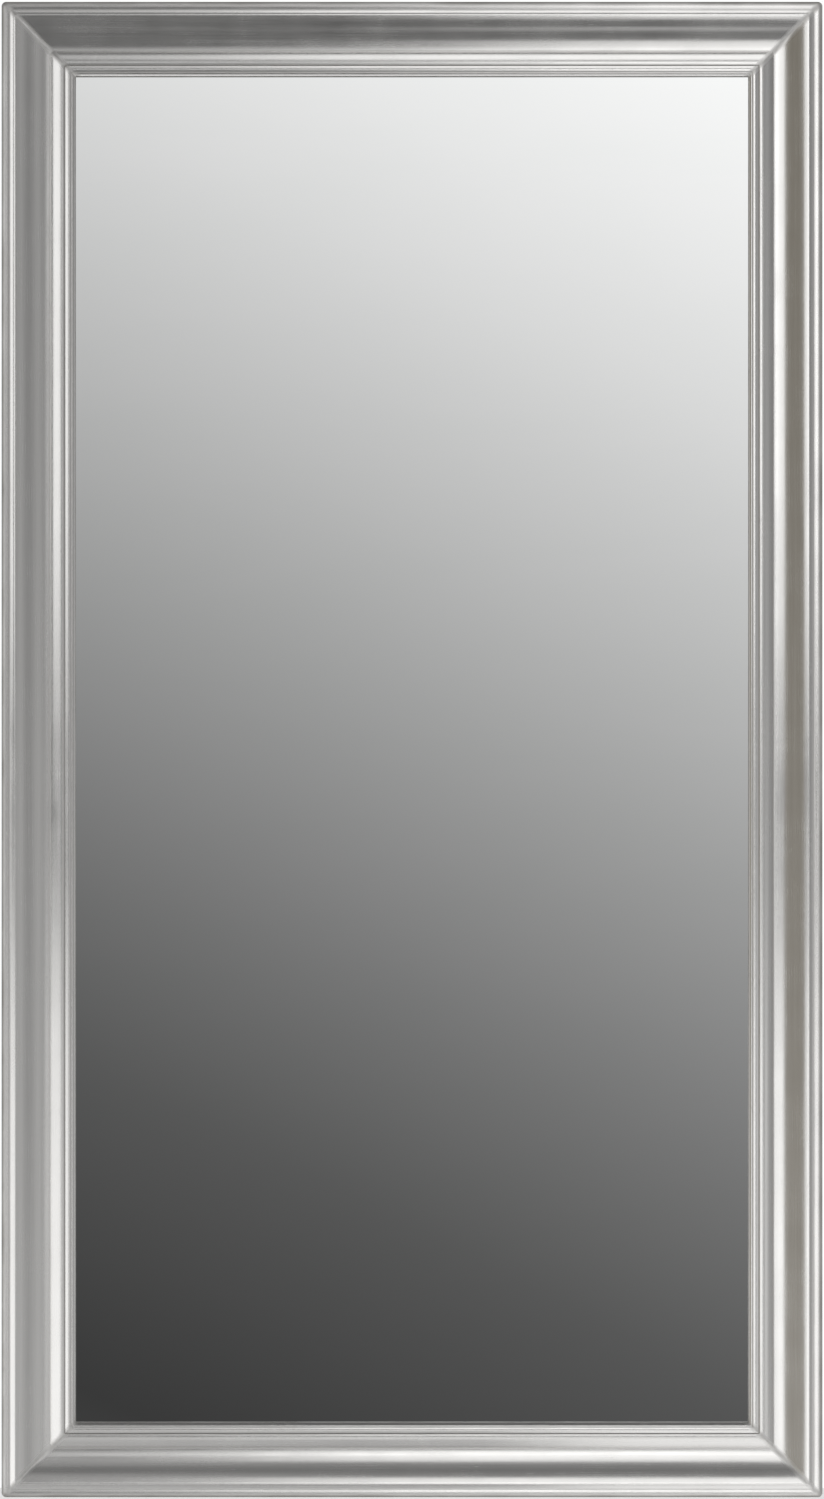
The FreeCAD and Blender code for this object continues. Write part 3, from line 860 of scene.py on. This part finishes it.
# Wall bumpers: round grey rubber pads, moulded with a rounded rim and a shallow dish, and glued near
# the corners. They keep the hardware off the wall.
bumper_rubber, tree, shader = new_material("bumper_rubber", {"Specular IOR Level": 0.35})
dark_bumper = (0.035, 0.036, 0.038, 1.0)
bloomed_bumper = (0.062, 0.062, 0.064, 1.0)
bumper_place = place_on_part(tree)
bumper_skin = lay_patches(tree, bumper_place, size=1.5 * MM)
bumper_bloom = lay_patches(tree, bumper_place, size=12.0 * MM)
bumper_colour = mix_colour(tree, bumper_bloom, dark_bumper, bloomed_bumper)
feed(tree, shader["Base Color"], lay_dust(tree, bumper_place, bumper_colour, amount=0.08))
feed(tree, shader["Roughness"], remap(tree, bumper_skin, 0.52, 0.7))
feed(tree, shader["Normal"], add_bump(tree, bumper_skin, depth=0.08 * MM, strength=0.4))

bumper_radius = 8.0 * MM
bumper_height = 6.0 * MM
bumper_edge = 1.0 * MM
dish_mouth = 5.2 * MM
dish_foot = 4.4 * MM
dish_depth = 0.3 * MM
dish_middle_depth = 0.4 * MM
rim_centre = (bumper_radius - bumper_edge, bumper_height - bumper_edge)
pad_outline = [(0.0, 0.0), (bumper_radius, 0.0)]
pad_outline += arc_points(rim_centre, bumper_edge, 0, 90, steps=6)
pad_outline += [(dish_mouth, bumper_height), (dish_foot, bumper_height - dish_depth)]
pad_outline += [(0.0, bumper_height - dish_middle_depth)]
for place in ("top_left", "top_right", "bottom_left", "bottom_right"):
    node = "wall_bumper_" + place
    low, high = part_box(node)
    pad = to_mesh("moulded_" + node, lathe(pad_outline, steps=40))
    pad.transform(on_rear((low.x + high.x) / 2, (low.z + high.z) / 2, 0))
    finish_piece("moulded_" + node, pad, bumper_rubber, "frame", node)

# Setting: a pale floor below the hung mirror, and a plain grey room, which the glass shows. The room
# grows lighter towards the upper right, and low down at its sides it is pale as a floor.
floor_half = 4.6
floor_drop = 1.5
floor_corners = ((-1, -1), (1, -1), (1, 1), (-1, 1))
floor_mesh = bpy.data.meshes.new("floor")
floor_mesh.from_pydata(
    [(x * floor_half, y * floor_half, -floor_drop) for x, y in floor_corners], [], [(0, 1, 2, 3)]
)
floor_paint, tree, shader = new_material("floor_paint", {"Roughness": 0.8})
worn_white = (0.78, 0.775, 0.765, 1.0)
clean_white = (0.82, 0.815, 0.81, 1.0)
floor_clouds = lay_patches(tree, place_on_part(tree), size=0.6)
feed(tree, shader["Base Color"], mix_colour(tree, floor_clouds, worn_white, clean_white))
floor_mesh.materials.append(floor_paint)
floor = bpy.data.objects.new("floor", floor_mesh)
bpy.context.scene.collection.objects.link(floor)
floor.visible_glossy = False


def light_only(lamp, piece):
    """Lets a lamp light one piece and nothing else."""
    lit = bpy.data.collections.new("lit_by_" + lamp.name)
    lit.objects.link(piece)
    lamp.light_linking.receiver_collection = lit


sun = bpy.data.lights.new("floor_light", "SUN")
sun.energy = 1.7
sun.angle = math.radians(60)
floor_light = bpy.data.objects.new("floor_light", sun)
bpy.context.scene.collection.objects.link(floor_light)
light_only(floor_light, floor)


def tone_ramp(tree, place, tones):
    """A grey that follows a place from -1 to 1 through the given tones."""
    ramp = add_node(tree, "ShaderNodeValToRGB", {0: calc(tree, "MULTIPLY_ADD", place, 0.5, 0.5)})
    stops = ramp.color_ramp.elements
    while len(stops) < len(tones):
        stops.new(0.5)
    for stop, (at, tone) in zip(stops, tones):
        stop.position = (at + 1) / 2
        stop.color = (tone, tone, tone, 1.0)
    return ramp.outputs[0]


def fade(tree, share, first, second):
    """A value that goes from the first to the second as the share goes from 0 to 1."""
    return calc(tree, "MULTIPLY_ADD", share, calc(tree, "SUBTRACT", second, first), first)


def share_out(tree, place, near, far):
    """A share that grows from 0 to 1 from near to far of the middle, on either side of it."""
    return share_of(tree, calc(tree, "ABSOLUTE", place), near, far)


# The room's tones by direction, as a screen shows them: ahead of the glass, at the sides, with paler
# corners and the floor, and behind the mirror.
slant_to_right = 0.5
front_tones = (
    (-1.0, 0.36), (-0.76, 0.36), (-0.32, 0.38), (-0.195, 0.245), (-0.12, 0.355), (-0.065, 0.473),
    (0.0, 0.62), (0.06, 0.755), (0.12, 0.88), (0.16, 0.951), (0.2, 1.01), (0.208, 1.02),
    (0.25, 0.56), (0.5, 0.52), (0.85, 0.5), (0.92, 0.4), (1.0, 0.4),
)
side_tones = (
    (-1.0, 0.75), (-0.92, 0.44), (-0.3, 0.44), (0.2, 0.6), (0.57, 0.69), (0.92, 0.56), (1.0, 0.75),
)
tilt_reach = 0.2
tilt_share = -0.35
corner_lift = 0.27
floor_tone = 0.86
rear_tone_ahead = 0.95
rear_tone_rise = 0.35
darkest_tone = 0.1
screen_gamma = 2.2
seen_white = (1.0, 1.0, 1.0, 1.0)

room = bpy.data.worlds.new("grey_room")
room.use_nodes = True
bpy.context.scene.world = room
tree = room.node_tree
towards = add_node(tree, "ShaderNodeTexCoord").outputs["Generated"]
aim = add_node(tree, "ShaderNodeSeparateXYZ", {0: towards}).outputs
slant = calc(tree, "MULTIPLY_ADD", aim["X"], slant_to_right, aim["Z"])
front_tone = tone_ramp(tree, slant, front_tones)
side_tone = tone_ramp(tree, aim["X"], side_tones)
near_level = calc(tree, "MINIMUM", calc(tree, "MAXIMUM", aim["Z"], -tilt_reach), tilt_reach)
side_tone = calc(tree, "ADD", side_tone, calc(tree, "MULTIPLY", near_level, tilt_share))
corner_across = share_out(tree, aim["X"], 0.3, 0.55)
corner_share = calc(tree, "MULTIPLY", corner_across, share_out(tree, aim["Z"], 0.25, 0.5))
side_tone = calc(tree, "ADD", side_tone, calc(tree, "MULTIPLY", corner_share, corner_lift))
below = share_of(tree, aim["Z"], -0.17, -0.34)
floor_share = calc(tree, "MULTIPLY", below, share_out(tree, aim["X"], 0.24, 0.3))
side_tone = fade(tree, floor_share, side_tone, floor_tone)
rear_tone = calc(tree, "MULTIPLY_ADD", aim["Z"], rear_tone_rise, rear_tone_ahead)
tone = fade(tree, share_out(tree, aim["X"], 0.1, 0.2), front_tone, side_tone)
tone = fade(tree, share_of(tree, aim["Y"], 0.55, 0.9), tone, rear_tone)
room_light = calc(tree, "POWER", calc(tree, "MAXIMUM", tone, darkest_tone), screen_gamma)
seen = add_node(tree, "ShaderNodeLightPath").outputs["Is Camera Ray"]
room_colour = mix_colour(tree, seen, room_light, seen_white)
feed(tree, tree.nodes["Background"].inputs["Color"], room_colour)

# Light panels: soft white boxes around the lens, each hung for one rail, which draw the bright bands
# along the silver. The wall that faces the right stile from the left is a warm grey.
white, warm_grey = (1.0, 1.0, 1.0), (1.0, 0.82, 0.5)
# The rail, how far round to its outer side the panel stands and how wide it looks, in degrees, its
# middle and length along the rail, its brightness, distance and colour.
panels = [
    ("frame_right_stile", -14, 32, 0.78, 1.36, 0.9, 2.0, white),
    ("frame_right_stile", -10, 36, -0.92, 1.3, 0.88, 2.0, white),
    ("frame_right_stile", 28, 16, -0.92, 1.3, 0.2, 2.0, white),
    ("frame_right_stile", -60, 60, 0.0, 4.0, 0.075, 1.85, warm_grey),
    ("frame_left_stile", 36, 48, 0.78, 1.36, 0.8, 2.0, white),
    ("frame_left_stile", 42, 60, -0.92, 1.3, 0.75, 2.0, white),
    ("frame_left_stile", 0, 24, -0.92, 1.3, 0.35, 2.0, white),
    ("frame_top_rail", 42, 36, 0.5, 1.4, 0.82, 2.0, white),
    ("frame_top_rail", 41, 26, -0.45, 0.6, 0.24, 1.95, white),
    ("frame_top_rail", -4, 38, 0.6, 1.0, 0.74, 2.0, white),
    ("frame_top_rail", -62, 14, 0.5, 0.9, 0.22, 1.4, white),
    ("frame_top_rail", -79, 18, 0.1, 1.6, 0.72, 1.2, white),
    ("frame_bottom_rail", -16, 34, 0.5, 1.4, 0.75, 2.0, white),
    ("frame_bottom_rail", -36, 24, -0.6, 0.8, 0.1, 2.0, white),
    ("frame_bottom_rail", 17, 14, 0.5, 1.4, 0.6, 2.0, white),
    ("frame_bottom_rail", 17, 14, -0.6, 0.8, 0.33, 2.0, white),
    ("frame_bottom_rail", 47, 50, 0.0, 1.1, 0.28, 0.75, white),
    ("frame_bottom_rail", 47, 50, 0.5, 0.7, 0.4, 0.7, white),
]
outward = {
    "frame_right_stile": Vector((1, 0, 0)), "frame_left_stile": Vector((-1, 0, 0)),
    "frame_top_rail": Vector((0, 0, 1)), "frame_bottom_rail": Vector((0, 0, -1)),
}
to_lens = Vector((0, -1, 0))
watts_for_brightness = 4
for number, panel_values in enumerate(panels, 1):
    rail, lean, spread, middle, length, brightness, distance, colour = panel_values
    low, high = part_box(rail)
    lean_angle = math.radians(lean)
    aim_out = outward[rail] * math.sin(lean_angle) + to_lens * math.cos(lean_angle)
    upright = abs(outward[rail].x) > 0.5
    along_rail = Vector((0, 0, 1)) if upright else Vector((1, 0, 0))
    width = 2 * distance * math.tan(math.radians(spread / 2))
    lamp = bpy.data.lights.new("light_panel_%d" % number, "AREA")
    lamp.shape = "RECTANGLE"
    lamp.size, lamp.size_y = (width, length) if upright else (length, width)
    lamp.energy = watts_for_brightness * width * length * brightness
    lamp.color = colour
    panel = bpy.data.objects.new(lamp.name, lamp)
    panel.location = (low + high) / 2 + aim_out * distance + along_rail * middle
    panel.rotation_euler = aim_out.to_track_quat("Z", "Y").to_euler()
    panel.visible_camera = False
    bpy.context.scene.collection.objects.link(panel)
    light_only(panel, leafed_rails[rail])

# Camera: straight in front of the middle, as far off as the photograph's nearly level edges tell.
camera_distance = 3.6
widest_plane = -0.023
picture_half_height = 0.66665
sensor_size = 36.0
lens_data = bpy.data.cameras.new("camera")
lens_data.sensor_width = sensor_size
lens_data.lens = sensor_size / 2 * camera_distance / picture_half_height
camera = bpy.data.objects.new("camera", lens_data)
camera.location = (0.0, widest_plane - camera_distance, 0.0)
camera.rotation_euler = (math.radians(90), 0.0, 0.0)
bpy.context.scene.collection.objects.link(camera)
bpy.context.scene.camera = camera
bpy.context.scene.view_settings.view_transform = "Standard"
